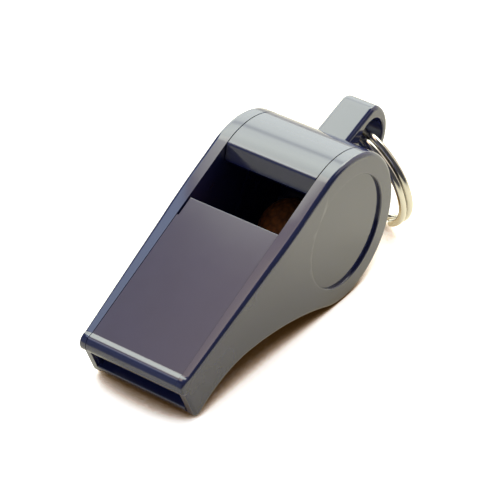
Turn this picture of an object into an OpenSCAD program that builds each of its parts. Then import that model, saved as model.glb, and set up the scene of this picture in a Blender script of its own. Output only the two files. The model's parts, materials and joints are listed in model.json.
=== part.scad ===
// Moulded pea whistle with a cork ball and a split ring, lying on its belly and lower lip.
// Millimetres. +X runs from the mouth to the loop, +Y to the left cheek, +Z up.
// The origin is on the floor under the middle of the barrel's axis.

/* [Body] */
// Width over the two cheeks
body_w = 20; // [18:0.5:24]
// Diameter of the barrel
barrel_d = 24; // [23:0.5:25]
// Barrel axis to the front edge of the windway plate
mouth_len = 35.6; // [33:0.2:38]
// Wall of the barrel
wall = 2.2; // [1.8:0.1:2.4]

/* [Mouthpiece] */
// Length of the window between the windway plate and the roof
window_len = 9.9; // [9:0.1:10.4]
// Thickness of the windway plate
plate_t = 1.5; // [1.2:0.1:1.8]
// Height of the windway where it opens into the window
windway_exit_h = 1.9; // [1.4:0.1:2.4]
// Radius of the bead across the front edge
bead_r = 1.4; // [1.2:0.05:1.5]
// Thickness of the lower lip
lip_t = 1.1; // [0.9:0.1:1.4]
// How far the lower lip stands ahead of the plate's front edge
chin = 0.9; // [0.5:0.1:1.2]
// How far the cheeks reach below the lower lip
skirt = 1.3; // [0.8:0.1:1.5]

/* [Underside curve] */
// Slope where the underside leaves the barrel
belly_slope = 47; // [44:1:50]
// Slope where the long curve meets the nose curve
mid_slope = 25; // [22:1:28]
// Radius of the long curve under the mouthpiece
sweep_r = 48; // [45:1:50]
// Radius of the curve under the nose
nose_r = 18; // [16:1:20]

/* [Cheeks] */
// Thickness of each cheek at the barrel
cheek_t = 2.25; // [2:0.05:2.6]
// How much each side tapers in by the mouth
nose_inset = 1; // [0.2:0.1:1.1]
// Diameter of the round sunk panel
panel_d = 17.6; // [14:0.2:19]
// Depth of the round sunk panel
panel_depth = 0.45; // [0.3:0.05:0.9]
// Thickness of the rail inside each cheek that carries the windway plate
rail_t = 0.5; // [0.3:0.05:0.7]

/* [Loop] */
// Width of the loop's strap
loop_w = 5.6; // [5.2:0.1:5.8]
// Radius of the loop's round end
loop_r = 5.5; // [5.3:0.05:5.7]
// Slope of the loop's flat top, falling to the rear
loop_fall = 7; // [5:0.5:9]
// Radius of the hole through the loop
loop_hole_r = 3.2; // [3.1:0.05:3.3]

/* [Pea] */
// Diameter of the cork ball
pea_d = 10.5; // [9:0.1:11]

/* [Split ring] */
// Radius to the middle of the wire
ring_r = 8.1; // [7.9:0.05:8.2]
// Thickness of the wire
ring_wire = 1; // [0.9:0.05:1.05]
// Distance between the middles of the two turns
ring_pitch = 1.45; // [1.45:0.01:1.5]

/* [Hidden] */

$fn = 96;
// Cutters run this far past what they cut
past = 1;
// The mouthpiece starts this far inside the barrel's rim, so that the two fuse
tuck = 0.05;

barrel_r = barrel_d / 2;
chamber_r = barrel_r - wall;
inner_w = body_w - 2 * cheek_t;

// Mouthpiece, seen from the side with the barrel axis at the origin
plate_front = -mouth_len;
plate_back = -window_len;
lip_front = plate_front - chin;
bead_behind = 0.35;
bead_below = 1.25;
bead_mid = [plate_front + bead_behind, barrel_r - bead_below];
windway_top = barrel_r - plate_t;

// Below the bead the cheeks' front edge leans forward to the lower lip
lean_at = 227;
lean_top = bead_mid + bead_r * [cos(lean_at), sin(lean_at)];

// Roof edge over the window: a ramp down to a blunt blade
ramp_run = 1.57;
ramp_drop = 2;

// Windway floor ends at the sill, which is also the chamber's front wall
sill_reach = 0.6;
sill_back = plate_back + sill_reach;
sill_top = windway_top - windway_exit_h;

// The underside leaves the barrel on a long curve that turns into the nose curve
curve_steps = 8;
belly = (barrel_r - tuck) * [-sin(belly_slope), -cos(belly_slope)];
function bend(from, r, a0, a) = from + r * [sin(a) - sin(a0), cos(a) - cos(a0)];
mid = bend(belly, sweep_r, belly_slope, mid_slope);
nose_slope = asin(sin(mid_slope) + (lip_front - mid[0]) / nose_r);
nose = bend(mid, nose_r, mid_slope, nose_slope);
function underside(lift) = concat(
    [for (i = [0 : curve_steps])
        bend(belly, sweep_r, belly_slope, belly_slope + (mid_slope - belly_slope) * i / curve_steps)
        + [0, lift * i / curve_steps / 2]],
    [for (i = [1 : curve_steps])
        bend(mid, nose_r, mid_slope, mid_slope + (nose_slope - mid_slope) * i / curve_steps)
        + [0, lift * (1 + i / curve_steps) / 2]]);

// The windway floor runs from the lower lip up to the sill
lip_top = nose[1] + skirt + lip_t;
function floor_at(x) = lip_top + (sill_top - lip_top) * (x - lip_front) / (sill_back - lip_front);

// The rail starts near the lip and keeps clear of the bead
rail_ahead = 0.4;
rail_clear = 0.1;
rail_front = plate_front - rail_ahead;
rail_step = bead_mid + (bead_r + rail_clear) * [1, -1];

// The whistle tips forward until the nose and the barrel both touch the floor
rest_tilt = asin(barrel_r / norm(nose)) + atan2(nose[1], -nose[0]);

// The sides taper from the front of the barrel to the mouth
taper_start = -10.5;
taper_angle = atan(nose_inset / (taper_start - plate_front));

// Loop behind the barrel, between a sloped top and a level underside
loop_mid = [barrel_r + 4, -2.9];
loop_top = [barrel_r, 2];
loop_under = -7.6;
loop_hole = loop_mid + [0.9, -0.45];

// The ball lies at the bottom of the chamber, with running room
pea_gap = 0.15;
pea_side = -0.5;
pea_drop = chamber_r - pea_d / 2 - pea_gap;

// Small clearance at the plate's rear left corner
notch_len = 3.2;
notch_w = 0.4;

// The ring stands on its edge, leaning in the loop
function rest_place(p) = [p[0] * cos(rest_tilt) - p[1] * sin(rest_tilt), 0,
    barrel_r + p[0] * sin(rest_tilt) + p[1] * cos(rest_tilt)];
ring_mid = rest_place(loop_hole) + [0.55, -2.7, -6.92];
ring_turn = -17.5;
ring_lean = 12.5;
ring_start = 30;
ring_end = 690;
jog_start = 335;
jog_end = 385;
ring_step = 15;
wire_sides = 6;
ring_count = (ring_end - ring_start) / ring_step;
half_turn = 180 / ring_step;

module on_belly() translate([0, 0, barrel_r]) rotate([0, -rest_tilt, 0]) children();
module across(w) rotate([90, 0, 0]) linear_extrude(height = w, center = true) children();

module mouth_outline() polygon(concat([[0, 0]], underside(0),
    [lean_top, bead_mid, [plate_front, barrel_r], [0, barrel_r - tuck]]));
module bead_outline() translate(bead_mid) circle(r = bead_r, $fn = 48);

// One moulding: lower lip, windway floor, barrel wall, roof and loop
module shell_outline() {
    difference() {
        union() {
            circle(r = barrel_r);
            polygon(concat([[0, 0]], underside(skirt),
                [[lip_front, lip_top], [sill_back, sill_top]]));
        }
        polygon([[past * ramp_run / ramp_drop, barrel_r + past], [0, barrel_r],
            [-ramp_run, barrel_r - ramp_drop], [-ramp_run, 0], [sill_back, 0], [sill_back, sill_top],
            [-barrel_r - past, sill_top], [-barrel_r - past, barrel_r + past]]);
    }
}

module loop() difference() {
    union() {
        across(loop_w) translate(loop_mid) circle(r = loop_r);
        across(loop_w) translate([0, loop_mid[1] - loop_r]) square([loop_mid[0], 2 * loop_r]);
    }
    across(body_w) translate(loop_top) rotate(-loop_fall) translate([-barrel_d, 0]) square(2 * barrel_d);
    across(body_w) translate([0, loop_under - barrel_d]) square(barrel_d);
}

module body_shell() color("midnightblue") on_belly() difference() {
    union() {
        across(inner_w) shell_outline();
        loop();
    }
    across(body_w) circle(r = chamber_r);
    across(body_w) translate(loop_hole) circle(r = loop_hole_r);
}

// The mouthpiece's flat top, with the bead that the teeth grip
module windway_plate() color("midnightblue") on_belly() difference() {
    across(inner_w) {
        translate([plate_front, windway_top]) square([plate_back - plate_front, plate_t]);
        bead_outline();
    }
    translate([plate_back - notch_len, inner_w / 2 - notch_w, windway_top - past])
        cube([notch_len + past, notch_w + past, plate_t + 2 * past]);
}

// The rail fills the side of the windway between its floor and the plate, and steps down under the bead
module rail_outline() polygon([[rail_front, floor_at(rail_front)], [sill_back, sill_top],
    [plate_back, windway_top], [rail_step[0], windway_top], rail_step, [rail_front, rail_step[1]]]);

module cheek() difference() {
    union() {
        translate([0, (body_w - cheek_t) / 2, 0]) {
            across(cheek_t) circle(r = barrel_r);
            across(cheek_t) mouth_outline();
            across(cheek_t) bead_outline();
        }
        translate([0, inner_w / 2, 0]) across(2 * rail_t) rail_outline();
    }
    translate([taper_start, body_w / 2, -barrel_d]) rotate([0, 0, 180 + taper_angle])
        translate([0, -body_w, 0]) cube([2 * mouth_len, body_w, 2 * barrel_d]);
    translate([0, body_w / 2 + past, 0]) rotate([90, 0, 0])
        cylinder(d = panel_d, h = panel_depth + past);
}

module left_cheek() color("midnightblue") on_belly() cheek();
module right_cheek() color("midnightblue") on_belly() mirror([0, 1, 0]) cheek();

module cork_pea() color("peru") translate([0, pea_side, barrel_r - pea_drop]) sphere(d = pea_d);

// Two flat turns of wire, joined by a short jog from one side to the other; the wire never touches itself
function layer(a) = a < jog_start ? ring_pitch / 2 : a > jog_end ? -ring_pitch / 2
    : ring_pitch / 2 * cos(180 * (a - jog_start) / (jog_end - jog_start));
function wire_mid(i) = let (a = ring_start + i * ring_step) [ring_r * cos(a), ring_r * sin(a), layer(a)];
function wire_edge(i, k) =
    let (a = ring_start + i * ring_step, b = 360 * k / wire_sides, r = ring_wire / 2 * cos(b))
    wire_mid(i) + [r * cos(a), r * sin(a), ring_wire / 2 * sin(b)];

least_gap = min([for (i = [0 : ring_count]) for (j = [0 : ring_count])
    if (j - i > half_turn) norm(wire_mid(i) - wire_mid(j))]) - ring_wire;
echo(split_ring_least_gap = least_gap);

module ring_wire_tube() polyhedron(
    points = [for (i = [0 : ring_count]) for (k = [0 : wire_sides - 1]) wire_edge(i, k)],
    faces = concat(
        [for (i = [0 : ring_count - 1]) for (k = [0 : wire_sides - 1])
            let (a = i * wire_sides + k, b = i * wire_sides + (k + 1) % wire_sides)
            [a, a + wire_sides, b]],
        [for (i = [0 : ring_count - 1]) for (k = [0 : wire_sides - 1])
            let (a = i * wire_sides + k, b = i * wire_sides + (k + 1) % wire_sides)
            [b, a + wire_sides, b + wire_sides]],
        [for (k = [1 : wire_sides - 2]) [0, k, k + 1]],
        [for (k = [1 : wire_sides - 2]) [0, k + 1, k] + ring_count * wire_sides * [1, 1, 1]]));

module split_ring() color("silver")
    translate(ring_mid) rotate([0, 0, ring_turn]) rotate([0, 90 - ring_lean, 0]) ring_wire_tube();

body_shell();
windway_plate();
left_cheek();
right_cheek();
cork_pea();
split_ring();
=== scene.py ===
# %% [markdown]
# # A pea whistle on a split ring
# The real thing is four navy plastic mouldings welded together, a cork ball that runs loose inside, and a
# ring of plated spring wire. The imported solids give the sizes, the places and the joints. This lesson
# models the same pieces again, with the round edges, seams and surfaces by which the eye tells moulded
# plastic from cork and nickel, and hangs each one on the body that moves it. The boxes of the solids, read
# from their meshes, give the sizes of the pieces.

import json
import math

import bmesh
import bpy
from mathutils import Matrix, Vector, noise

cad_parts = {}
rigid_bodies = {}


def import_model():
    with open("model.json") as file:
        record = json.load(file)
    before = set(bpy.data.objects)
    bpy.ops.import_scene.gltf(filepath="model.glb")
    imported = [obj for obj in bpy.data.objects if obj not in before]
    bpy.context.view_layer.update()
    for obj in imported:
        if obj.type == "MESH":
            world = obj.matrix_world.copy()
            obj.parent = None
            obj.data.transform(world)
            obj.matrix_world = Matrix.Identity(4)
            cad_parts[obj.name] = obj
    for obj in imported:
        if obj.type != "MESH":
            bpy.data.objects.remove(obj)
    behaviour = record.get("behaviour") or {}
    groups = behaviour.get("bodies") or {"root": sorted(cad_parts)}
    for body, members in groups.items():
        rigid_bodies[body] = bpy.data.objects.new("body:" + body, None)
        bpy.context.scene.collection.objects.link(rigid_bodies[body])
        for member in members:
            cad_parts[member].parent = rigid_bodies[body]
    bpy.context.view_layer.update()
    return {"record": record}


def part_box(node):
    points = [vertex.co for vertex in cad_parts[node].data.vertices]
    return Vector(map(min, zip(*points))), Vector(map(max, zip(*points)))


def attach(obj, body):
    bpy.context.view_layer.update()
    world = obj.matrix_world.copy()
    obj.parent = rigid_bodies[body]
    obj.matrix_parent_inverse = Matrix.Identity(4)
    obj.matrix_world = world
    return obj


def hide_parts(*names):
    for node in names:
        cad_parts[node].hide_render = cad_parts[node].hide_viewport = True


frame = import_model()
MM = 0.001

# %% [markdown]
# ## The camera
# The camera comes first, because every later choice is judged through it. It stands off the front right of
# the whistle, looking down at about 37 degrees through a long lens, so that parallel edges stay nearly
# parallel. Its place was solved from the seams, the window corners and the panel rim in the photo. An aim
# point, a distance and three angles say the same as a matrix would, in numbers that can be read.

# %% Camera
camera_aim = Vector((-9.56, 0.23, 10.0)) * MM
camera_distance = 364.3 * MM
camera_azimuth = math.radians(-54.538)
camera_elevation = math.radians(36.634)
camera_roll = math.radians(0.433)
lens_length = 183.78
sensor_width = 36

camera_back = Vector((
    math.sin(camera_azimuth) * math.cos(camera_elevation),
    -math.cos(camera_azimuth) * math.cos(camera_elevation),
    math.sin(camera_elevation),
))
camera_data = bpy.data.cameras.new("camera")
camera_data.lens = lens_length
camera_data.sensor_width = sensor_width
camera = bpy.data.objects.new("camera", camera_data)
camera.matrix_world = (
    Matrix.Translation(camera_aim + camera_back * camera_distance)
    @ camera_back.to_track_quat("Z", "Y").to_matrix().to_4x4()
    @ Matrix.Rotation(camera_roll, 4, "Z")
)
bpy.context.scene.collection.objects.link(camera)
bpy.context.scene.camera = camera
print("camera stands at", [round(v / MM, 1) for v in camera.matrix_world.translation], "mm")

# %% [markdown]
# ## The side view
# A whistle like this is designed from the side: a round barrel, a flat top, and an underside that sweeps
# from the belly to the lip in two arcs. So the plastic pieces are drawn as side outlines, in mm, with the
# barrel's axis as the origin, x towards the loop and z square to the flat top. One matrix then tips them on
# to the belly and lip, as the whistle lies on the table, and turns mm into metres.

# %% Side view of the whistle
pea_joint = next(j for j in frame["record"]["behaviour"]["joints"] if j["name"] == "pea_orbit")
barrel_axis = Vector(pea_joint["pos_m"]) / MM
barrel_radius = barrel_axis.z
half_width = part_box("left_cheek")[1].y / MM
inner_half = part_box("windway_plate")[1].y / MM

mouth_length = 35.6
lip_overhang = 0.9
lip_front = -mouth_length - lip_overhang
belly_inset = 0.05
belly_slope = math.radians(47)
mid_slope = math.radians(25)
sweep_radius = 48.0
nose_radius = 18.0


def bend(start, radius, slope_from, slope_to):
    """The end of an arc that leaves start at one slope and arrives at another."""
    return (
        start[0] + radius * (math.sin(slope_to) - math.sin(slope_from)),
        start[1] + radius * (math.cos(slope_to) - math.cos(slope_from)),
    )


belly_radius = barrel_radius - belly_inset
belly = (-belly_radius * math.sin(belly_slope), -belly_radius * math.cos(belly_slope))
mid = bend(belly, sweep_radius, belly_slope, mid_slope)
nose_slope = math.asin(math.sin(mid_slope) + (lip_front - mid[0]) / nose_radius)
nose = bend(mid, nose_radius, mid_slope, nose_slope)
rest_tilt = math.asin(barrel_radius / math.hypot(*nose)) + math.atan2(nose[1], -nose[0])

on_belly = (
    Matrix.Translation((0, 0, barrel_radius * MM))
    @ Matrix.Rotation(-rest_tilt, 4, "Y")
    @ Matrix.Scale(MM, 4)
)
print("the whistle lies tipped by", round(math.degrees(rest_tilt), 2), "degrees")

# %% [markdown]
# ## From outlines to meshes
# Three small helpers turn a side outline into a moulding. The first lays points along an arc, the second
# rounds the corners that are given a radius, and the third sweeps the outline across the whistle into a
# closed prism. Bezier curves with an extrusion would do as well, but points give exact radii. Real moulds
# have no sharp corners, and a corner with even a 0.1 mm radius catches a line of light, so most get one.

# %% Outline helpers
ARC_STEP = math.radians(3)


def arc(centre, radius, start, end, step=ARC_STEP):
    """Points along an arc, from one angle to another, both ends included."""
    count = max(2, math.ceil(abs(end - start) / step))
    angles = [start + (end - start) * i / count for i in range(count + 1)]
    return [(centre[0] + radius * math.cos(a), centre[1] + radius * math.sin(a)) for a in angles]


def rounded(corners, steps=5):
    """The outline with an arc in place of every corner that has a radius as its third number."""
    points = []
    for i, corner in enumerate(corners):
        here = Vector(corner[:2])
        if len(corner) < 3:
            points.append(tuple(here))
            continue
        to_last = (Vector(corners[i - 1][:2]) - here).normalized()
        to_next = (Vector(corners[(i + 1) % len(corners)][:2]) - here).normalized()
        half = to_last.angle(to_next) / 2
        middle = here + (to_last + to_next).normalized() * corner[2] / math.sin(half)
        first = here + to_last * corner[2] / math.tan(half) - middle
        last = here + to_next * corner[2] / math.tan(half) - middle
        turn = first.angle_signed(last)
        for k in range(steps + 1):
            spoke = first.copy()
            spoke.rotate(Matrix.Rotation(-turn * k / steps, 2))
            points.append(tuple(middle + spoke))
    return points


def prism(outline, y_low, y_high):
    """A closed bmesh: the outline at two places across the whistle, with walls between."""
    made = bmesh.new()
    near = [made.verts.new((x, y_low, z)) for x, z in outline]
    far = [made.verts.new((x, y_high, z)) for x, z in outline]
    made.faces.new(near)
    made.faces.new(far[::-1])
    for i in range(len(outline)):
        k = (i + 1) % len(outline)
        made.faces.new((near[i], far[i], far[k], near[k]))
    bmesh.ops.recalc_face_normals(made, faces=made.faces)
    return made


print("a full circle takes", round(2 * math.pi / ARC_STEP), "points")

# %% [markdown]
# ## Carving
# Holes, panels and joins are Boolean work, as they would be in the toolmaker's model. Live modifiers would
# keep the cuts editable, but each cut here is baked at once, so that the next step meets a plain mesh whose
# new edges can be found by their place and rounded.

# %% Carving helpers
scene_objects = bpy.context.scene.collection.objects


def baked(obj):
    """The mesh that the object's modifiers make."""
    depsgraph = bpy.context.evaluated_depsgraph_get()
    return bpy.data.meshes.new_from_object(obj.evaluated_get(depsgraph), depsgraph=depsgraph)


def as_object(name, made):
    """A plain object from a bmesh."""
    mesh = bpy.data.meshes.new(name)
    made.to_mesh(mesh)
    made.free()
    obj = bpy.data.objects.new(name, mesh)
    scene_objects.link(obj)
    return obj


def carve(target, tool, operation):
    """The target bmesh after a Boolean with the tool bmesh."""
    whole = as_object("carved", target)
    other = as_object("tool", tool)
    cut = whole.modifiers.new("cut", "BOOLEAN")
    cut.object = other
    cut.operation = operation
    cut.solver = "EXACT"
    result = bmesh.new()
    mesh = baked(whole)
    result.from_mesh(mesh)
    for old in (whole, other):
        bpy.data.objects.remove(old)
    bpy.data.meshes.remove(mesh)
    return result


def round_edges(made, chosen, radius, segments):
    """Rounds the edges for which chosen(edge) holds."""
    edges = [e for e in made.edges if chosen(e)]
    bmesh.ops.bevel(made, geom=edges, offset=radius, segments=segments, profile=0.5, affect="EDGES")


print("the scene starts with", len(scene_objects), "objects")

# %% [markdown]
# ## Finishing
# Every piece ends in the same way. Its place goes into its mesh, so that the object itself sits at the
# origin like the solid that it replaces. It is shaded smooth except over real corners, and its normals are
# weighted by face size, so that flat faces stay flat in reflections. Then it is handed to the body that it
# rides, and the solid that it replaces is hidden.

# %% Finishing helper
MERGE_DISTANCE = 1e-4


def finish_piece(name, made, place, material, body, smooth_below=32):
    """Places the bmesh, shades it smooth below an angle in degrees, and lets it replace its CAD node."""
    bmesh.ops.remove_doubles(made, verts=made.verts, dist=MERGE_DISTANCE)
    bmesh.ops.recalc_face_normals(made, faces=made.faces)
    obj = as_object(name + "_visual", made)
    obj.data.transform(place)
    obj.data.materials.append(material)
    obj.data.shade_smooth()
    obj.data.set_sharp_from_angle(angle=math.radians(smooth_below))
    weighted = obj.modifiers.new("flat faces stay flat", "WEIGHTED_NORMAL")
    weighted.keep_sharp = True
    obj.data = baked(obj)
    obj.modifiers.clear()
    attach(obj, body)
    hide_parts(name)
    print(name, "has", len(obj.data.polygons), "faces")


# %% [markdown]
# ## Colours and nodes
# Colours are written as sRGB hex, as a paint picker shows them, and turned into the linear values that the
# shaders work in. Every texture is measured in Object coordinates, so a 0.3 mm grain is 0.3 mm on the
# piece. A material could be wired by hand in the editor; written down, with one helper that adds a node
# together with its links, it can be read from top to bottom and made again.

# %% Material helpers
def linear(hex_colour):
    """A linear RGBA value from an sRGB hex colour."""
    values = [int(hex_colour[i:i + 2], 16) / 255 for i in (1, 3, 5)]
    return [v / 12.92 if v <= 0.04045 else ((v + 0.055) / 1.055) ** 2.4 for v in values] + [1.0]


def add_node(tree, kind, wires=None, **settings):
    """A node with its settings, and each input either linked from a socket or set to a value."""
    made = tree.nodes.new(kind)
    for name, value in settings.items():
        setattr(made, name, value)
    for name, value in (wires or {}).items():
        if isinstance(value, bpy.types.NodeSocket):
            tree.links.new(value, made.inputs[name])
        else:
            made.inputs[name].default_value = value
    return made


def start_material(name):
    """An empty material, its node tree and its Object coordinates."""
    material = bpy.data.materials.new(name)
    material.use_nodes = True
    material.node_tree.nodes.clear()
    place = add_node(material.node_tree, "ShaderNodeTexCoord").outputs["Object"]
    return material, material.node_tree, place


def per_mm(size):
    """The texture scale at which one feature is that many mm across."""
    return 1 / (size * MM)


navy_deep = "#282E5A"
navy_light = "#2C3263"
print("navy in linear light:", [round(v, 3) for v in linear(navy_deep)[:3]])

# %% [markdown]
# ## Moulded navy plastic
# The four mouldings are a hard plastic such as ABS, from a polished steel mould. That gives the eye one deep
# colour under a clear, even gloss, in which the studio shows as soft stripes; what the photo shows of the
# whistle is mostly the studio, mirrored. One Principled shader does it, and three noises keep it from
# looking computed: clouds of a lighter navy, flow marks that vary the gloss, and a faint grain. The grain of
# a polished mould is too fine to show here, so it is drawn several times coarser.

# %% Plastic
cloud_size = 7
flow_size = 2.5
mould_grain = 0.35
grain_depth = 0.02 * MM

plastic, tree, place = start_material("moulded navy plastic")
cloud = add_node(tree, "ShaderNodeTexNoise", {"Vector": place, "Scale": per_mm(cloud_size), "Detail": 2})
navy = add_node(
    tree, "ShaderNodeMix",
    {0: cloud.outputs["Fac"], 6: linear(navy_deep), 7: linear(navy_light)},
    data_type="RGBA",
)
flow = add_node(tree, "ShaderNodeTexNoise", {"Vector": place, "Scale": per_mm(flow_size), "Detail": 4})
gloss = add_node(
    tree, "ShaderNodeMapRange",
    {"Value": flow.outputs["Fac"], "From Min": 0.3, "From Max": 0.7, "To Min": 0.08, "To Max": 0.11},
)
grain = add_node(tree, "ShaderNodeTexNoise", {"Vector": place, "Scale": per_mm(mould_grain), "Detail": 3})
texture = add_node(
    tree, "ShaderNodeBump",
    {"Height": grain.outputs["Fac"], "Strength": 0.03, "Distance": grain_depth},
)
shader = add_node(
    tree, "ShaderNodeBsdfPrincipled",
    {"Base Color": navy.outputs[2], "Roughness": gloss.outputs[0], "Normal": texture.outputs[0],
     "IOR": 1.5, "Specular IOR Level": 1.0},
)
add_node(tree, "ShaderNodeOutputMaterial", {"Surface": shader.outputs[0]})
print(plastic.name, "has", len(tree.nodes), "nodes")

# %% [markdown]
# ## The cheeks
# Each cheek is a flat side plate with the whole side outline: barrel, underside, lip, bead and flat top. The
# bead that the teeth hold is a circle that stands a little ahead of the front edge and above the flat top,
# and a hollow fillet leads from it down to the flat. The fillet touches the circle and the flat without a
# corner, so the light runs over all three in one sweep. The outline is drawn once and serves both cheeks.

# %% Cheek outline
plate_front = -mouth_length
bead_radius = 1.4
bead_inset = 0.35
bead_drop = 1.25
bead_mid = (plate_front + bead_inset, barrel_radius - bead_drop)
bead_low = math.radians(227)
bead_fillet = 1.4
fillet_rise = barrel_radius + bead_fillet - bead_mid[1]
fillet_run = math.sqrt((bead_radius + bead_fillet) ** 2 - fillet_rise ** 2)
fillet_mid = (bead_mid[0] + fillet_run, barrel_radius + bead_fillet)
bead_high = math.atan2(fillet_rise, fillet_run)
lip_round = 0.9
curve_steps = 14


def underside(lift):
    """The bottom of the mouthpiece from belly to lip, raised more and more up to lift at the lip."""
    points = []
    for i in range(1, 2 * curve_steps + 1):
        share = i / curve_steps
        if share <= 1:
            x, z = bend(belly, sweep_radius, belly_slope, belly_slope + (mid_slope - belly_slope) * share)
        else:
            x, z = bend(mid, nose_radius, mid_slope, mid_slope + (nose_slope - mid_slope) * (share - 1))
        points.append((x, z + lift * share / 2))
    return points


barrel_arc = arc((0, 0), barrel_radius, math.pi / 2, -math.pi / 2 - belly_slope)
fillet = arc(fillet_mid, bead_fillet, math.pi + bead_high, 1.5 * math.pi)[1:]
bead_front = arc(bead_mid, bead_radius, bead_low, bead_high, 2 * ARC_STEP) + fillet
# the round of the lip needs the room of the last two points of the underside
lip_corner = (lip_front, nose[1], lip_round)
cheek_outline = rounded(barrel_arc + underside(0)[:-2] + [lip_corner] + bead_front)
print("cheek outline has", len(cheek_outline), "points")

# %% [markdown]
# A rail inside each cheek fills the side of the windway and carries the plate. It follows the windway floor,
# which rises from the lower lip to the sill at the window, and steps down to keep clear of the bead. Drawn
# as an outline of six corners, it can be joined to the cheek with one Boolean.

# %% Rail outline
window_length = 9.9
plate_back = -window_length
plate_thickness = 1.5
windway_top = barrel_radius - plate_thickness
skirt = 1.3
lip_thickness = 1.1
lip_top = nose[1] + skirt + lip_thickness
sill_setback = 0.6
sill_drop = 1.9
sill = (plate_back + sill_setback, windway_top - sill_drop)
rail_thickness = 0.5
rail_lead = 0.4
rail_front = plate_front - rail_lead
rail_gap = 0.1
rail_clear = bead_radius + rail_gap

floor_slope = (sill[1] - lip_top) / (sill[0] - lip_front)
rail_step = (bead_mid[0] + rail_clear, bead_mid[1] - rail_clear)
rail_outline = [
    (rail_front, lip_top + floor_slope * (rail_front - lip_front)),
    sill,
    (plate_back, windway_top),
    (rail_step[0], windway_top),
    rail_step,
    (rail_front, rail_step[1]),
]
print("windway floor rises", round(math.degrees(math.atan(floor_slope)), 1), "degrees")

# %% [markdown]
# The flat cheek is bent last. From the barrel to the mouth it leans in by a millimetre, so that the
# mouthpiece narrows, and its top edge sags outwards by a few degrees, as thin mouldings do. A lattice could
# bend it too, but moving each vertex by a rule keeps the inner face exactly flat. The bends start gently,
# which needs a few cuts across the plate to bend at, and triangles are the safest faces to cut.

# %% Bends of the cheek
lean_start = -10.5
lean_depth = 1.0
lean_slope = lean_depth / (lean_start - plate_front)
lean_blend = 8.0
lean_cuts = 8
sag_slope = math.tan(math.radians(3))


def lean_in(x):
    """How far the outer face has come in at x, with a soft start."""
    along = lean_start + lean_blend / 2 - x
    if along <= 0:
        return 0.0
    if along < lean_blend:
        return lean_slope * along * along / (2 * lean_blend)
    return lean_slope * (along - lean_blend / 2)


def bend_cheek(made):
    """Leans the flat cheek in towards the mouth and lets its top edge sag outwards."""
    bmesh.ops.triangulate(made, faces=made.faces)
    for i in range(lean_cuts + 1):
        cut = lean_start + lean_blend * (0.5 - i / lean_cuts)
        everything = made.verts[:] + made.edges[:] + made.faces[:]
        bmesh.ops.bisect_plane(made, geom=everything, plane_co=(cut, 0, 0), plane_no=(1, 0, 0))
    for vertex in made.verts:
        if vertex.co.y > inner_half:
            outward = (vertex.co.y - inner_half) / (half_width - inner_half)
            vertex.co.y -= lean_in(vertex.co.x) * outward
            along = min(1.0, max(0.0, (lean_start + lean_blend / 2 - vertex.co.x) / lean_blend))
            upward = min(1.0, max(0.0, vertex.co.z - windway_top))
            vertex.co.z -= sag_slope * (vertex.co.y - inner_half) * along * upward


print("the cheek leans in by", round(lean_in(plate_front), 2), "mm at the mouth")

# %% [markdown]
# The steps of the cheek come in the order in which they disturb each other least: the outer rim is rounded
# while the plate is a plain prism, then the round panel is sunk and its rim softened, then the rail is
# joined on, and only then is it bent. The right cheek is the same shape mirrored. Mirroring turns every face
# inside out, which the finishing helper puts right.

# %% Cheeks
rim_round = 0.7
panel_radius = 8.8
panel_depth = 0.45
panel_rim_round = 0.2
cut_margin = 1
on_face = 1e-4
on_face_after_cut = 1e-3
on_circle = 0.05


def on_rim(edge):
    """Whether the edge runs round the outer face of the plain cheek."""
    return all(v.co.y > half_width - on_face for v in edge.verts)


def on_panel_rim(edge):
    """Whether the edge runs round the mouth of the panel."""
    return all(
        abs(math.hypot(v.co.x, v.co.z) - panel_radius) < on_circle
        and v.co.y > half_width - on_face_after_cut
        for v in edge.verts
    )


def cheek():
    """The left cheek, with its rim rounded, its panel sunk and its rail joined on."""
    made = prism(cheek_outline, inner_half, half_width)
    round_edges(made, on_rim, rim_round, segments=6)
    panel_outline = arc((0, 0), panel_radius, 0, 2 * math.pi)[:-1]
    panel = prism(panel_outline, half_width - panel_depth, half_width + cut_margin)
    made = carve(made, panel, "DIFFERENCE")
    round_edges(made, on_panel_rim, panel_rim_round, segments=4)
    rail = prism(rail_outline, inner_half - rail_thickness, inner_half + rail_thickness)
    made = carve(made, rail, "UNION")
    bend_cheek(made)
    return made


left = cheek()
right = cheek()
bmesh.ops.scale(right, vec=(1, -1, 1), verts=right.verts)
finish_piece("left_cheek", left, on_belly, plastic, "whistle")
finish_piece("right_cheek", right, on_belly, plastic, "whistle")

# %% [markdown]
# ## The windway plate
# The plate roofs the windway. Its front edge carries the bead between the cheeks, and its rear edge is one
# side of the window. It stops a hair short of the left cheek, which leaves the dark seam that shows there,
# sits tight against the right one, and has a small relief at its left rear corner. A dark line in the
# material would give the seam from one side only; a real gap is right from everywhere.

# %% Windway plate
seam = 0.1
tight_seam = 0.02
notch_length = 3.2
notch_width = 0.4
notch_height = 2.0
plate_round = 0.12
plate_under_round = 0.15

bead_under = math.asin((windway_top - bead_mid[1]) / bead_radius)
bead_round = arc(bead_mid, bead_radius, bead_high, bead_under + 2 * math.pi, 2 * ARC_STEP)
plate_outline = rounded(
    [(plate_back, barrel_radius, plate_round)]
    + fillet[::-1]
    + bead_round
    + [(plate_back, windway_top, plate_under_round)]
)
plate = prism(plate_outline, -inner_half + tight_seam, inner_half - seam)
notch = bmesh.new()
bmesh.ops.create_cube(notch, size=1)
bmesh.ops.scale(notch, vec=(2 * notch_length, 2 * notch_width, 2 * notch_height), verts=notch.verts)
bmesh.ops.translate(notch, vec=(plate_back, inner_half, windway_top), verts=notch.verts)
plate = carve(plate, notch, "DIFFERENCE")
finish_piece("windway_plate", plate, on_belly, plastic, "whistle")

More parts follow.
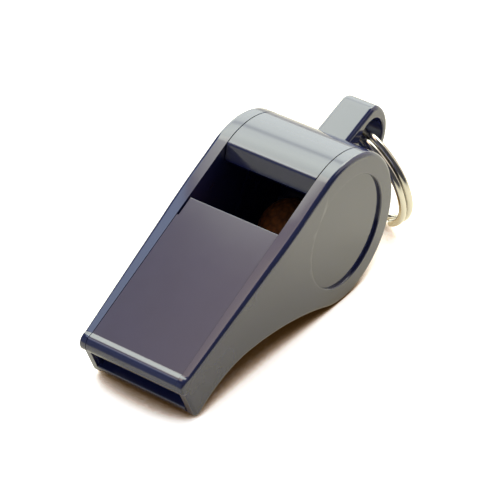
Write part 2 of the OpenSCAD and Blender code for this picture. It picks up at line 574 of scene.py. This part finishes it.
# %% [markdown]
# ## The body shell
# One moulding runs from the lower lip along the windway floor, down into the barrel, all the way round it
# and up to the ramp at the far side of the window, where the air jet splits. Seen from the side it is one
# long C, so one outline makes it. The front edge of the roof has a low round ridge, which draws the thin
# bright line over the window.

# %% Shell outline
chamber_wall = 2.2
chamber_radius = barrel_radius - chamber_wall
ramp_run = 1.57
ramp_drop = 2.0
ramp_foot = (-ramp_run, barrel_radius - ramp_drop)
ramp_foot_round = 0.12
ridge_radius = 0.5
ridge_rise = 0.05
ridge_end = math.radians(62)
lip_edge_round = 0.25
sill_round = 0.2
shell_seam = 0.15

wall_angle = math.pi - math.acos(-sill[0] / chamber_radius)
blade_angle = math.acos(ramp_foot[0] / chamber_radius)
chamber_arc = arc((0, 0), chamber_radius, wall_angle, blade_angle + 2 * math.pi)
ramp_lean = math.atan2(barrel_radius - ramp_foot[1], -ramp_foot[0])
ridge_z = barrel_radius + ridge_rise - ridge_radius
ridge_x = (ridge_radius - (ridge_radius - ridge_rise) * math.cos(ramp_lean)) / math.sin(ramp_lean)
ridge = arc((ridge_x, ridge_z), ridge_radius, math.pi / 2 + ramp_lean, ridge_end, 2 * ARC_STEP)
behind_ridge = [p for p in barrel_arc if p[0] > ridge[-1][0] or p[1] < 0]
lower_lip = [(lip_front, nose[1] + skirt, lip_edge_round), (lip_front, lip_top, lip_edge_round)]
shell_outline = rounded(
    ridge
    + behind_ridge
    + underside(skirt)[:-1]
    + lower_lip
    + [(*sill, sill_round)]
    + chamber_arc
    + [(*ramp_foot, ramp_foot_round)]
)
shell = prism(shell_outline, -inner_half + shell_seam, inner_half - shell_seam)
print("shell outline has", len(shell_outline), "points")

# %% [markdown]
# The seam beside each cheek is only a groove. Behind it the shell has a weld tongue, which reaches all but
# to the cheek, so no light shows through when the eye looks straight along the seam. A thinner seam would
# need no tongue, but it would vanish in the render. It follows the barrel's wall, so two arcs outline it.

# %% Weld tongue
groove_depth = 0.3
tongue_lift = 0.3
tongue_gap = 0.005
tongue_start = wall_angle + math.radians(6)
tongue_end = 2 * math.pi + math.pi / 2 - math.radians(2)
tongue_outer = barrel_radius - groove_depth
tongue_inner = chamber_radius + tongue_lift
tongue_outline = (
    arc((0, 0), tongue_outer, tongue_end, tongue_start)
    + arc((0, 0), tongue_inner, tongue_start, tongue_end)
)
tongue = prism(tongue_outline, -inner_half + tongue_gap, inner_half - tongue_gap)
shell = carve(shell, tongue, "UNION")
print("weld tongue fills", round(tongue_outer - tongue_inner, 2), "mm of the wall")

# %% [markdown]
# The lanyard loop behind the barrel is a slab with a falling top, a tight shoulder and a big round end. The
# shoulder is a circle that touches the top line and lies inside the round end, so its middle is found where
# a line parallel to the top meets a circle about the loop's middle. The foot of the slab reaches a
# millimetre into the barrel's wall, which makes the join a clean one.

# %% Loop outline
loop_half = 2.8
loop_radius = 5.5
loop_fall = math.radians(7)
loop_mid = Vector((barrel_radius + 4, -2.9))
loop_top = Vector((barrel_radius, 2.0))
loop_under = -7.6
loop_shoulder = 2.2
loop_root = 1.0
loop_base = barrel_radius - loop_root

top_run = Vector((math.cos(loop_fall), -math.sin(loop_fall)))
top_in = Vector((-math.sin(loop_fall), -math.cos(loop_fall)))
offset = loop_top + top_in * loop_shoulder - loop_mid
reach = offset.dot(top_run)
slack = offset.length_squared - (loop_radius - loop_shoulder) ** 2
shoulder_mid = loop_mid + offset + top_run * (math.sqrt(reach * reach - slack) - reach)
shoulder_end = math.atan2(*(shoulder_mid - loop_mid).yx)
under_angle = math.asin((loop_under - loop_mid.y) / loop_radius)
base_reach = loop_top.dot(top_run)
base_slack = loop_top.length_squared - loop_base ** 2
base_top = loop_top + top_run * (math.sqrt(base_reach ** 2 - base_slack) - base_reach)

loop_outline = (
    arc(shoulder_mid, loop_shoulder, math.pi / 2 - loop_fall, shoulder_end, 2 * ARC_STEP)
    + arc(loop_mid, loop_radius, shoulder_end, under_angle)[1:]
    + arc((0, 0), loop_base, math.asin(loop_under / loop_base), math.atan2(base_top.y, base_top.x))
)
print("loop outline has", len(loop_outline), "points")

# %% [markdown]
# The slab's side edges are rounded before the hole is bored, and the hole's own edges after it, each with
# its own radius: the hole's edge is the finer of the two. Bevels on chosen edges of a bmesh give that
# control, where one Bevel modifier would round everything alike. Then the loop is joined to the shell, and
# the body is one moulding, as on the real whistle.

# %% Loop and body shell
loop_round = 0.7
hole_shift = Vector((0.9, -0.45))
loop_hole = loop_mid + hole_shift
loop_hole_radius = 3.2
hole_round = 0.3
clear_of_base = 0.1
on_hole = 0.02


def along_side(edge):
    """Whether both ends of the edge are the same way across."""
    return abs(edge.verts[0].co.y - edge.verts[1].co.y) < on_face


def on_loop_rim(edge):
    """Whether the edge runs round one side of the loop, outside the barrel's wall."""
    beyond_base = any(math.hypot(v.co.x, v.co.z) > loop_base + clear_of_base for v in edge.verts)
    return along_side(edge) and beyond_base


def on_hole_rim(edge):
    """Whether the edge runs round one mouth of the hole."""
    return along_side(edge) and all(
        abs(math.hypot(v.co.x - loop_hole.x, v.co.z - loop_hole.y) - loop_hole_radius) < on_hole
        for v in edge.verts
    )


loop = prism(loop_outline, -loop_half, loop_half)
round_edges(loop, on_loop_rim, loop_round, segments=6)
hole_outline = arc(loop_hole, loop_hole_radius, 0, 2 * math.pi, 2 * ARC_STEP)[:-1]
hole = prism(hole_outline, -half_width, half_width)
loop = carve(loop, hole, "DIFFERENCE")
round_edges(loop, on_hole_rim, hole_round, segments=4)
shell = carve(shell, loop, "UNION")
finish_piece("body_shell", shell, on_belly, plastic, "whistle")

# %% [markdown]
# ## Ground cork
# The pea is pressed from ground cork: grains about a millimetre across, bound together and turned to a ball.
# That gives the eye a dry, matte brown with a speckle inside each grain and darker joints between them. A
# Voronoi texture has such cells by nature, and a noise gives the speckle.

# %% Cork
cork_grain = 1.1
cork_speckle = 0.5

cork, tree, place = start_material("ground cork")
grains = add_node(tree, "ShaderNodeTexVoronoi", {"Vector": place, "Scale": per_mm(cork_grain)})
speckle = add_node(
    tree, "ShaderNodeTexNoise", {"Vector": place, "Scale": per_mm(cork_speckle), "Detail": 4},
)
warm = add_node(
    tree, "ShaderNodeMix",
    {0: speckle.outputs["Fac"], 6: linear("#86431A"), 7: linear("#E08A3C")},
    data_type="RGBA",
)
tint = add_node(
    tree, "ShaderNodeMix",
    {0: grains.outputs["Distance"], 6: warm.outputs[2], 7: linear("#6A3212")},
    data_type="RGBA",
)
shader = add_node(tree, "ShaderNodeBsdfPrincipled", {"Base Color": tint.outputs[2], "Roughness": 0.85})
add_node(tree, "ShaderNodeOutputMaterial", {"Surface": shader.outputs[0]})
print(cork.name, "has", len(tree.nodes), "nodes")

# %% [markdown]
# ## The cork pea
# The ball lies loose at the bottom of the barrel, and only its crown shows through the window. A fine sphere
# is dented along the joints between grains, and a little by pores. A Displace modifier would do the same;
# moving the vertices one by one lets the dents go inwards only, so the ball never grows past the solid that
# turns in the barrel.

# %% Cork pea
pea_inset = 0.02
dent = 0.09
joint_share = 0.75
joint_width = 0.25
pore_size = 0.4

pea_low, pea_high = (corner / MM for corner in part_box("cork_pea"))
pea_mid = (pea_low + pea_high) / 2
pea_radius = (pea_high.y - pea_low.y) / 2 - pea_inset
pea = bmesh.new()
bmesh.ops.create_icosphere(pea, subdivisions=6, radius=pea_radius)
for vertex in pea.verts:
    nearest, second = noise.voronoi(vertex.co / cork_grain)[0][:2]
    joint = max(0.0, 1 - (second - nearest) / joint_width)
    rough = noise.noise(vertex.co / pore_size) * 0.5 + 0.5
    vertex.co *= 1 - dent * (joint_share * joint + (1 - joint_share) * rough) / pea_radius
in_barrel = Matrix.Scale(MM, 4) @ Matrix.Translation(pea_mid)
finish_piece("cork_pea", pea, in_barrel, cork, "pea", smooth_below=180)

# %% [markdown]
# ## Nickel plate
# The ring is spring steel wire with a bright nickel plate. Nickel gives the eye a mirror a shade warmer and
# darker than chrome, and rubbing in a pocket leaves it slightly uneven. A metal needs only its colour and
# its roughness, so a noise of a millimetre or two moves the roughness and nothing else.

# %% Nickel
wear_size = 1.5

nickel, tree, place = start_material("nickel plated wire")
wear = add_node(tree, "ShaderNodeTexNoise", {"Vector": place, "Scale": per_mm(wear_size), "Detail": 4})
polish = add_node(
    tree, "ShaderNodeMapRange",
    {"Value": wear.outputs["Fac"], "From Min": 0.3, "From Max": 0.7, "To Min": 0.1, "To Max": 0.2},
)
shader = add_node(
    tree, "ShaderNodeBsdfPrincipled",
    {"Base Color": linear("#C8C4BE"), "Metallic": 1.0, "Roughness": polish.outputs[0]},
)
add_node(tree, "ShaderNodeOutputMaterial", {"Surface": shader.outputs[0]})
print(nickel.name, "has", len(tree.nodes), "nodes")

# %% [markdown]
# ## The split ring
# The ring is one length of wire wound into two touching turns, with a short jog where it steps from one
# turn to the other. That is a rule, so Geometry Nodes lay it out: each point's share of the length gives its
# angle, the angle gives its place and its turn, and a round profile is swept along the curve. Two torus
# rings would be simpler, but they have no ends and no jog, by which one knows a split ring.

# %% Wire rule in Geometry Nodes
rule = bpy.data.node_groups.new("split ring wire", "GeometryNodeTree")
rule.interface.new_socket(name="Geometry", in_out="OUTPUT", socket_type="NodeSocketGeometry")
float_inputs = (
    "Mean radius", "Wire radius", "Half step", "First angle", "Last angle", "Jog start", "Jog end",
)
for input_name in float_inputs:
    rule.interface.new_socket(name=input_name, in_out="INPUT", socket_type="NodeSocketFloat")
rule.interface.new_socket(name="Points", in_out="INPUT", socket_type="NodeSocketInt")
rule.interface.new_socket(name="Material", in_out="INPUT", socket_type="NodeSocketMaterial")

given = add_node(rule, "NodeGroupInput").outputs
line = add_node(rule, "GeometryNodeMeshLine", {"Count": given["Points"]})
curve = add_node(rule, "GeometryNodeMeshToCurve", {"Mesh": line.outputs["Mesh"]})
along = add_node(rule, "GeometryNodeSplineParameter").outputs["Factor"]
angle = add_node(
    rule, "ShaderNodeMapRange",
    {"Value": along, "To Min": given["First angle"], "To Max": given["Last angle"]},
).outputs[0]
jog = {"From Min": given["Jog start"], "From Max": given["Jog end"], "To Min": 1.0, "To Max": -1.0}
turn = add_node(
    rule, "ShaderNodeMapRange", {"Value": angle, **jog}, interpolation_type="SMOOTHSTEP",
).outputs[0]
across = add_node(rule, "ShaderNodeMath", {0: angle}, operation="COSINE").outputs[0]
upward = add_node(rule, "ShaderNodeMath", {0: angle}, operation="SINE").outputs[0]
print("places along the wire take", len(rule.nodes), "nodes")

# %% [markdown]
# The second half of the rule turns those numbers into a place for each point and sweeps the wire. It ends in
# Realize Instances and Set Material, so that the result is plain geometry that wears its nickel.

# %% Wire sweep
wire_sides = 20
coordinates = {}
for axis, share, size in (
    ("X", across, "Mean radius"),
    ("Y", upward, "Mean radius"),
    ("Z", turn, "Half step"),
):
    scaled = add_node(rule, "ShaderNodeMath", {0: share, 1: given[size]}, operation="MULTIPLY")
    coordinates[axis] = scaled.outputs[0]
spot = add_node(rule, "ShaderNodeCombineXYZ", coordinates)
wound = add_node(
    rule, "GeometryNodeSetPosition",
    {"Geometry": curve.outputs["Curve"], "Position": spot.outputs["Vector"]},
)
profile = add_node(
    rule, "GeometryNodeCurvePrimitiveCircle",
    {"Resolution": wire_sides, "Radius": given["Wire radius"]},
)
swept = add_node(
    rule, "GeometryNodeCurveToMesh",
    {"Curve": wound.outputs["Geometry"], "Profile Curve": profile.outputs["Curve"], "Fill Caps": True},
)
real = add_node(rule, "GeometryNodeRealizeInstances", {"Geometry": swept.outputs["Mesh"]})
dressed = add_node(
    rule, "GeometryNodeSetMaterial",
    {"Geometry": real.outputs["Geometry"], "Material": given["Material"]},
)
add_node(rule, "NodeGroupOutput", {"Geometry": dressed.outputs["Geometry"]})
print(rule.name, "has", len(rule.nodes), "nodes")

# %% [markdown]
# The rule now gets its sizes. The ring hangs from the loop a little turned and tipped, with its middle where
# the solid has it. The wire starts 30 degrees late and ends 30 degrees early, so it makes a little less than
# two full turns and its cut ends show. The result is baked to a plain mesh before it is finished.

# %% Split ring
ring_low, ring_high = (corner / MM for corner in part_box("split_ring"))
ring_mid = (ring_low + ring_high) / 2
ring_lean = math.radians(12.5)
ring_turn = math.radians(-17.5)
wire_radius = 0.6
half_gap = 0.005
ring_values = {
    "Mean radius": 7.99,
    "Wire radius": wire_radius,
    "Half step": wire_radius + half_gap,
    "First angle": math.radians(30),
    "Last angle": math.radians(690),
    "Jog start": math.radians(335),
    "Jog end": math.radians(385),
    "Points": 261,
    "Material": nickel,
}
wire = bpy.data.objects.new("wire", bpy.data.meshes.new("wire"))
scene_objects.link(wire)
winding = wire.modifiers.new("wind", "NODES")
winding.node_group = rule
for item in rule.interface.items_tree:
    if item.in_out == "INPUT":
        winding[item.identifier] = ring_values[item.name]
ring = bmesh.new()
ring.from_mesh(baked(wire))
bpy.data.objects.remove(wire)
ring_place = (
    Matrix.Scale(MM, 4)
    @ Matrix.Translation(ring_mid)
    @ Matrix.Rotation(ring_turn, 4, "Z")
    @ Matrix.Rotation(math.pi / 2 - ring_lean, 4, "Y")
)
finish_piece("split_ring", ring, ring_place, nickel, "ring", smooth_below=50)

# %% [markdown]
# ## The floor
# The whistle lies on a sheet of white paper. To light paper until it shows as pure white would burn out
# everything on it, so the sheet keeps a pale paper colour in the open and adds a glow of its own, which only
# the camera and mirror surfaces see. An Ambient Occlusion node tells how closed in each spot is. Under the
# whistle the paper's colour is painted darker, to a warm brown, and the glow is held back, so the soft
# contact shadow there is partly cast by the lamps and partly painted.

# %% Paper and contact shadow
shadow_reach = 15 * MM


def fill_ramp(node, stops):
    """Gives a Color Ramp one stop for each place and colour, where a plain number stands for a grey."""
    ramp = node.color_ramp
    ramp.elements[0].position = stops[0][0]
    ramp.elements[1].position = stops[-1][0]
    for place, _ in stops[1:-1]:
        ramp.elements.new(place)
    for element, (_, value) in zip(ramp.elements, stops):
        element.color = value if isinstance(value, list) else [value, value, value, 1.0]


sheet, tree, place = start_material("white sheet")
near = add_node(tree, "ShaderNodeAmbientOcclusion", {"Distance": shadow_reach}, samples=16)
# Painted contact shade: the AO value darkens the paper's colour to a warm brown where the sheet is closed in
# under the whistle.
painted_contact_shade = add_node(tree, "ShaderNodeValToRGB", {"Fac": near.outputs["AO"]})
fill_ramp(painted_contact_shade, [(0.2, linear("#34240F")), (0.48, linear("#BF9E66")), (0.62, linear("#D4D0C8"))])
paper = add_node(tree, "ShaderNodeBsdfDiffuse", {"Color": painted_contact_shade.outputs["Color"]})
# This AO mask holds the glow back under the whistle, which paints the dark core of the contact shadow.
clear = add_node(
    tree, "ShaderNodeMapRange",
    {"Value": near.outputs["AO"], "From Min": 0.36, "From Max": 0.54, "To Min": 0.03},
    interpolation_type="SMOOTHSTEP",
).outputs[0]
print("the contact shadow reaches", round(shadow_reach / MM), "mm")

# %% [markdown]
# The camera sees the glow as even white, all the way to the horizon. Mirror surfaces see it warmer and
# fading, from full beside the barrel to nothing a hand's length away, as if only the middle of the table
# were lit: a painted pool of light. The right cheek, which faces the sheet at a low angle, takes its warm
# grey from mirroring this painted pool of light.

# %% Glow of the sheet
light_pool_mid = Vector((25, -20, 0)) * MM
light_pool_reach = 145 * MM

ray = add_node(tree, "ShaderNodeLightPath").outputs
centred = add_node(
    tree, "ShaderNodeMapping",
    {"Vector": place, "Location": -light_pool_mid / light_pool_reach, "Scale": [1 / light_pool_reach] * 3},
)
spread = add_node(
    tree, "ShaderNodeTexGradient", {"Vector": centred.outputs[0]}, gradient_type="SPHERICAL",
)
# A spherical ramp about the middle of the pool paints the pool of light that mirror surfaces see; for the
# camera the glow stays even.
painted_light_pool = add_node(tree, "ShaderNodeValToRGB", {"Fac": spread.outputs["Fac"]})
fill_ramp(painted_light_pool, [(0.06, 0.0), (0.2, 0.6), (0.5, 0.6), (0.72, 0.8), (0.87, 1.0)])
# Mirror surfaces see the painted pool of light in a warm grey, and the camera sees it white.
bright = add_node(
    tree, "ShaderNodeMix",
    {0: ray["Is Camera Ray"], 6: linear("#E2DAB9"), 7: linear("#FFFFFF")},
    data_type="RGBA",
)
# Painted shadow colour: where the AO mask holds the glow back, the glow turns a warm orange-brown, which
# paints the warm edge of the contact shadow.
warm = add_node(
    tree, "ShaderNodeMix", {0: clear, 6: linear("#E8A04C"), 7: bright.outputs[2]}, data_type="RGBA",
)
mirrored = add_node(
    tree, "ShaderNodeMath", {0: ray["Is Glossy Ray"], 1: ray["Is Transmission Ray"]}, operation="MAXIMUM",
)
seen = add_node(
    tree, "ShaderNodeMath", {0: ray["Is Camera Ray"], 1: mirrored.outputs[0]}, operation="MAXIMUM",
)
level = add_node(tree, "ShaderNodeMath", {0: seen.outputs[0], 1: clear}, operation="MULTIPLY")
glow = add_node(
    tree, "ShaderNodeMath", {0: ray["Is Camera Ray"], 1: painted_light_pool.outputs["Color"]}, operation="MAXIMUM",
)
strength = add_node(
    tree, "ShaderNodeMath", {0: level.outputs[0], 1: glow.outputs[0]}, operation="MULTIPLY",
)
light = add_node(tree, "ShaderNodeEmission", {"Color": warm.outputs[2], "Strength": strength.outputs[0]})
both = add_node(tree, "ShaderNodeAddShader", {0: paper.outputs[0], 1: light.outputs[0]})
add_node(tree, "ShaderNodeOutputMaterial", {"Surface": both.outputs[0]})
print(sheet.name, "has", len(tree.nodes), "nodes")

# %% [markdown]
# The sheet itself is one large square, so that no edge of it shows from any side.

# %% Floor
floor_half = 3.0
floor = bmesh.new()
bmesh.ops.create_grid(floor, x_segments=1, y_segments=1, size=floor_half)
floor_object = as_object("floor", floor)
floor_object.data.materials.append(sheet)
print("floor is", 2 * floor_half, "m wide")

# %% [markdown]
# ## The studio lights
# A glossy dark object is lit by what it mirrors, so each lamp is a panel with its own gradient, as a softbox
# has. Blender's area lamps take nodes: the lamp's own coordinates, from 0 to 1 across its face, drive a ramp
# from its lower to its upper edge. The power is set so that a ramp value of 1 is a radiance of 1.

# %% Softbox helper
def softbox(name, middle, side, up, size_side, size_up, stops, hex_colour, fade_width=0.001):
    """A lamp in the plane of side and up, in mm, with stops of radiance from its lower to its upper edge.

    It fades away at its right end over the given share of its width.
    """
    data = bpy.data.lights.new(name, "AREA")
    data.shape = "RECTANGLE"
    data.size = size_side * MM
    data.size_y = size_up * MM
    data.energy = math.pi * data.size * data.size_y
    data.color = linear(hex_colour)[:3]
    data.use_nodes = True
    data.node_tree.nodes.clear()
    spot = add_node(data.node_tree, "ShaderNodeNewGeometry").outputs["Parametric"]
    across, height, _ = add_node(data.node_tree, "ShaderNodeSeparateXYZ", {"Vector": spot}).outputs
    profile = add_node(data.node_tree, "ShaderNodeValToRGB", {"Fac": height})
    fill_ramp(profile, stops)
    edge = add_node(
        data.node_tree, "ShaderNodeMapRange",
        {"Value": across, "From Min": 1 - fade_width, "From Max": 1.0, "To Min": 1.0, "To Max": 0.0},
    )
    face = add_node(
        data.node_tree, "ShaderNodeEmission",
        {"Color": profile.outputs["Color"], "Strength": edge.outputs[0]},
    )
    add_node(data.node_tree, "ShaderNodeOutputLight", {"Surface": face.outputs[0]})
    lamp = bpy.data.objects.new(name, data)
    turn = Matrix((side, up, side.cross(up))).transposed()
    lamp.matrix_world = Matrix.Translation(middle * MM) @ turn.to_4x4()
    scene_objects.link(lamp)
    print(name, "is", round(size_side), "by", round(size_up), "mm")


def facing(azimuth, elevation):
    """The directions out to a lamp, and along its width and height, when it faces the whistle."""
    out = Vector((
        math.cos(azimuth) * math.cos(elevation),
        math.sin(azimuth) * math.cos(elevation),
        math.sin(elevation),
    ))
    side = Vector((-math.sin(azimuth), math.cos(azimuth), 0))
    return out, side, out.cross(side)


print("a radiance of 1 takes", round(math.pi, 2), "watts for each square metre of lamp")

# %% [markdown]
# The roof, the loop and the top of the bead mirror a tall bank of light behind the whistle. It has a dimmer
# seam across its middle, which the round roof shows as a dark stripe, and its right end fades out. Places on
# the bank are given as shares of its distance, so that it keeps its look if it is moved nearer.

# %% Light bank
bank_distance = 700.0
bank_left, bank_right = -0.75, 0.455
bank_low, bank_high = -0.95, 0.58
bank_fade = 0.07
bank_profile = [
    (-0.95, 2.2), (-0.7, 2.5), (-0.15, 4.3), (-0.06, 4.3), (0.01, 2.9), (0.08, 4.8),
    (0.26, 5.6), (0.39, 5.0), (0.5, 3.7), (0.53, 3.6), (0.58, 1.6),
]
bank_out, bank_side, bank_up = facing(azimuth=math.radians(45), elevation=math.radians(42))
bank_mid = bank_out + bank_side * (bank_left + bank_right) / 2 + bank_up * (bank_low + bank_high) / 2
bank_width = bank_distance * (bank_right - bank_left)
bank_height = bank_distance * (bank_high - bank_low)
bank_stops = [((up - bank_low) / (bank_high - bank_low), radiance) for up, radiance in bank_profile]
softbox(
    "light bank", bank_distance * bank_mid, bank_side, bank_up, bank_width, bank_height,
    bank_stops, "#F9FFEE", bank_fade,
)

# %% [markdown]
# The flat plate mirrors a much dimmer, warm ceiling, bright only at its edge near the whistle. Beyond it
# hangs a cool card for the left rim, and ahead of it a narrow card for the bead, brightest at its rear end.
# One large lamp would be simpler, but then the plate, the rim and the bead would all show the same grey.

# %% Ceiling and its cards
along_x = Vector((1, 0, 0))
along_y = Vector((0, 1, 0))
ceiling_height = 500
ceiling_x = -50
ceiling_y = 215
ceiling_width = 260
ceiling_depth = 190
cool_depth = 140
cool_overlap = 2
cool_y = ceiling_y + (ceiling_depth + cool_depth) / 2 - cool_overlap

softbox(
    "warm ceiling", Vector((ceiling_x, ceiling_y, ceiling_height)), along_x, along_y,
    ceiling_width, ceiling_depth,
    [(0, 3.4), (0.2, 2.6), (0.3, 1.6), (0.5, 1.35), (0.7, 1.2), (0.87, 0.9), (1, 0.88)], "#FFE6CB",
)
softbox(
    "cool card", Vector((ceiling_x, cool_y, ceiling_height)), along_x, along_y,
    ceiling_width, cool_depth, [(0, 1.9), (1, 1.9)], "#D8E8FF",
)
bead_card_mid = Vector((-185, 302, ceiling_height))
bead_card_width = 80
bead_card_length = 230
softbox(
    "bead card", bead_card_mid, -along_y, along_x, bead_card_width, bead_card_length,
    [(0, 0.6), (0.1, 1.1), (0.55, 3.0), (1, 7.0)], "#E4ECFF",
)

# %% [markdown]
# Two big, weak cards stand at the sides. The right one lifts the right cheek and the ring, and the left one
# keeps the far cheek from going black. The rest of the room is left nearly dark, which is what leaves the
# navy bands along the round edges. The view transform is Standard, so that colours come out as written.

# %% Side cards, room and view
card_distance = 600
right_card_width = 660
right_card_height = 740
right_level = 1.0
left_card_size = 500
left_level = 0.28
room_level = 0.1

side_out, side_side, side_up = facing(azimuth=math.radians(-21), elevation=math.radians(30))
softbox(
    "side card", card_distance * side_out, side_side, side_up, right_card_width, right_card_height,
    [(0, right_level), (1, right_level)], "#FFF4E0",
)
left_out, left_side, left_up = facing(azimuth=math.radians(150), elevation=math.radians(20))
softbox(
    "left card", card_distance * left_out, left_side, left_up, left_card_size, left_card_size,
    [(0, left_level), (1, left_level)], "#C8D6FF",
)

world = bpy.data.worlds.new("studio room")
world.use_nodes = True
world.node_tree.nodes.clear()
room = add_node(
    world.node_tree, "ShaderNodeBackground", {"Color": linear("#F4F6FF"), "Strength": room_level},
)
add_node(world.node_tree, "ShaderNodeOutputWorld", {"Surface": room.outputs[0]})
bpy.context.scene.world = world
bpy.context.scene.view_settings.view_transform = "Standard"
print("the studio has", len([o for o in scene_objects if o.type == "LIGHT"]), "lamps")
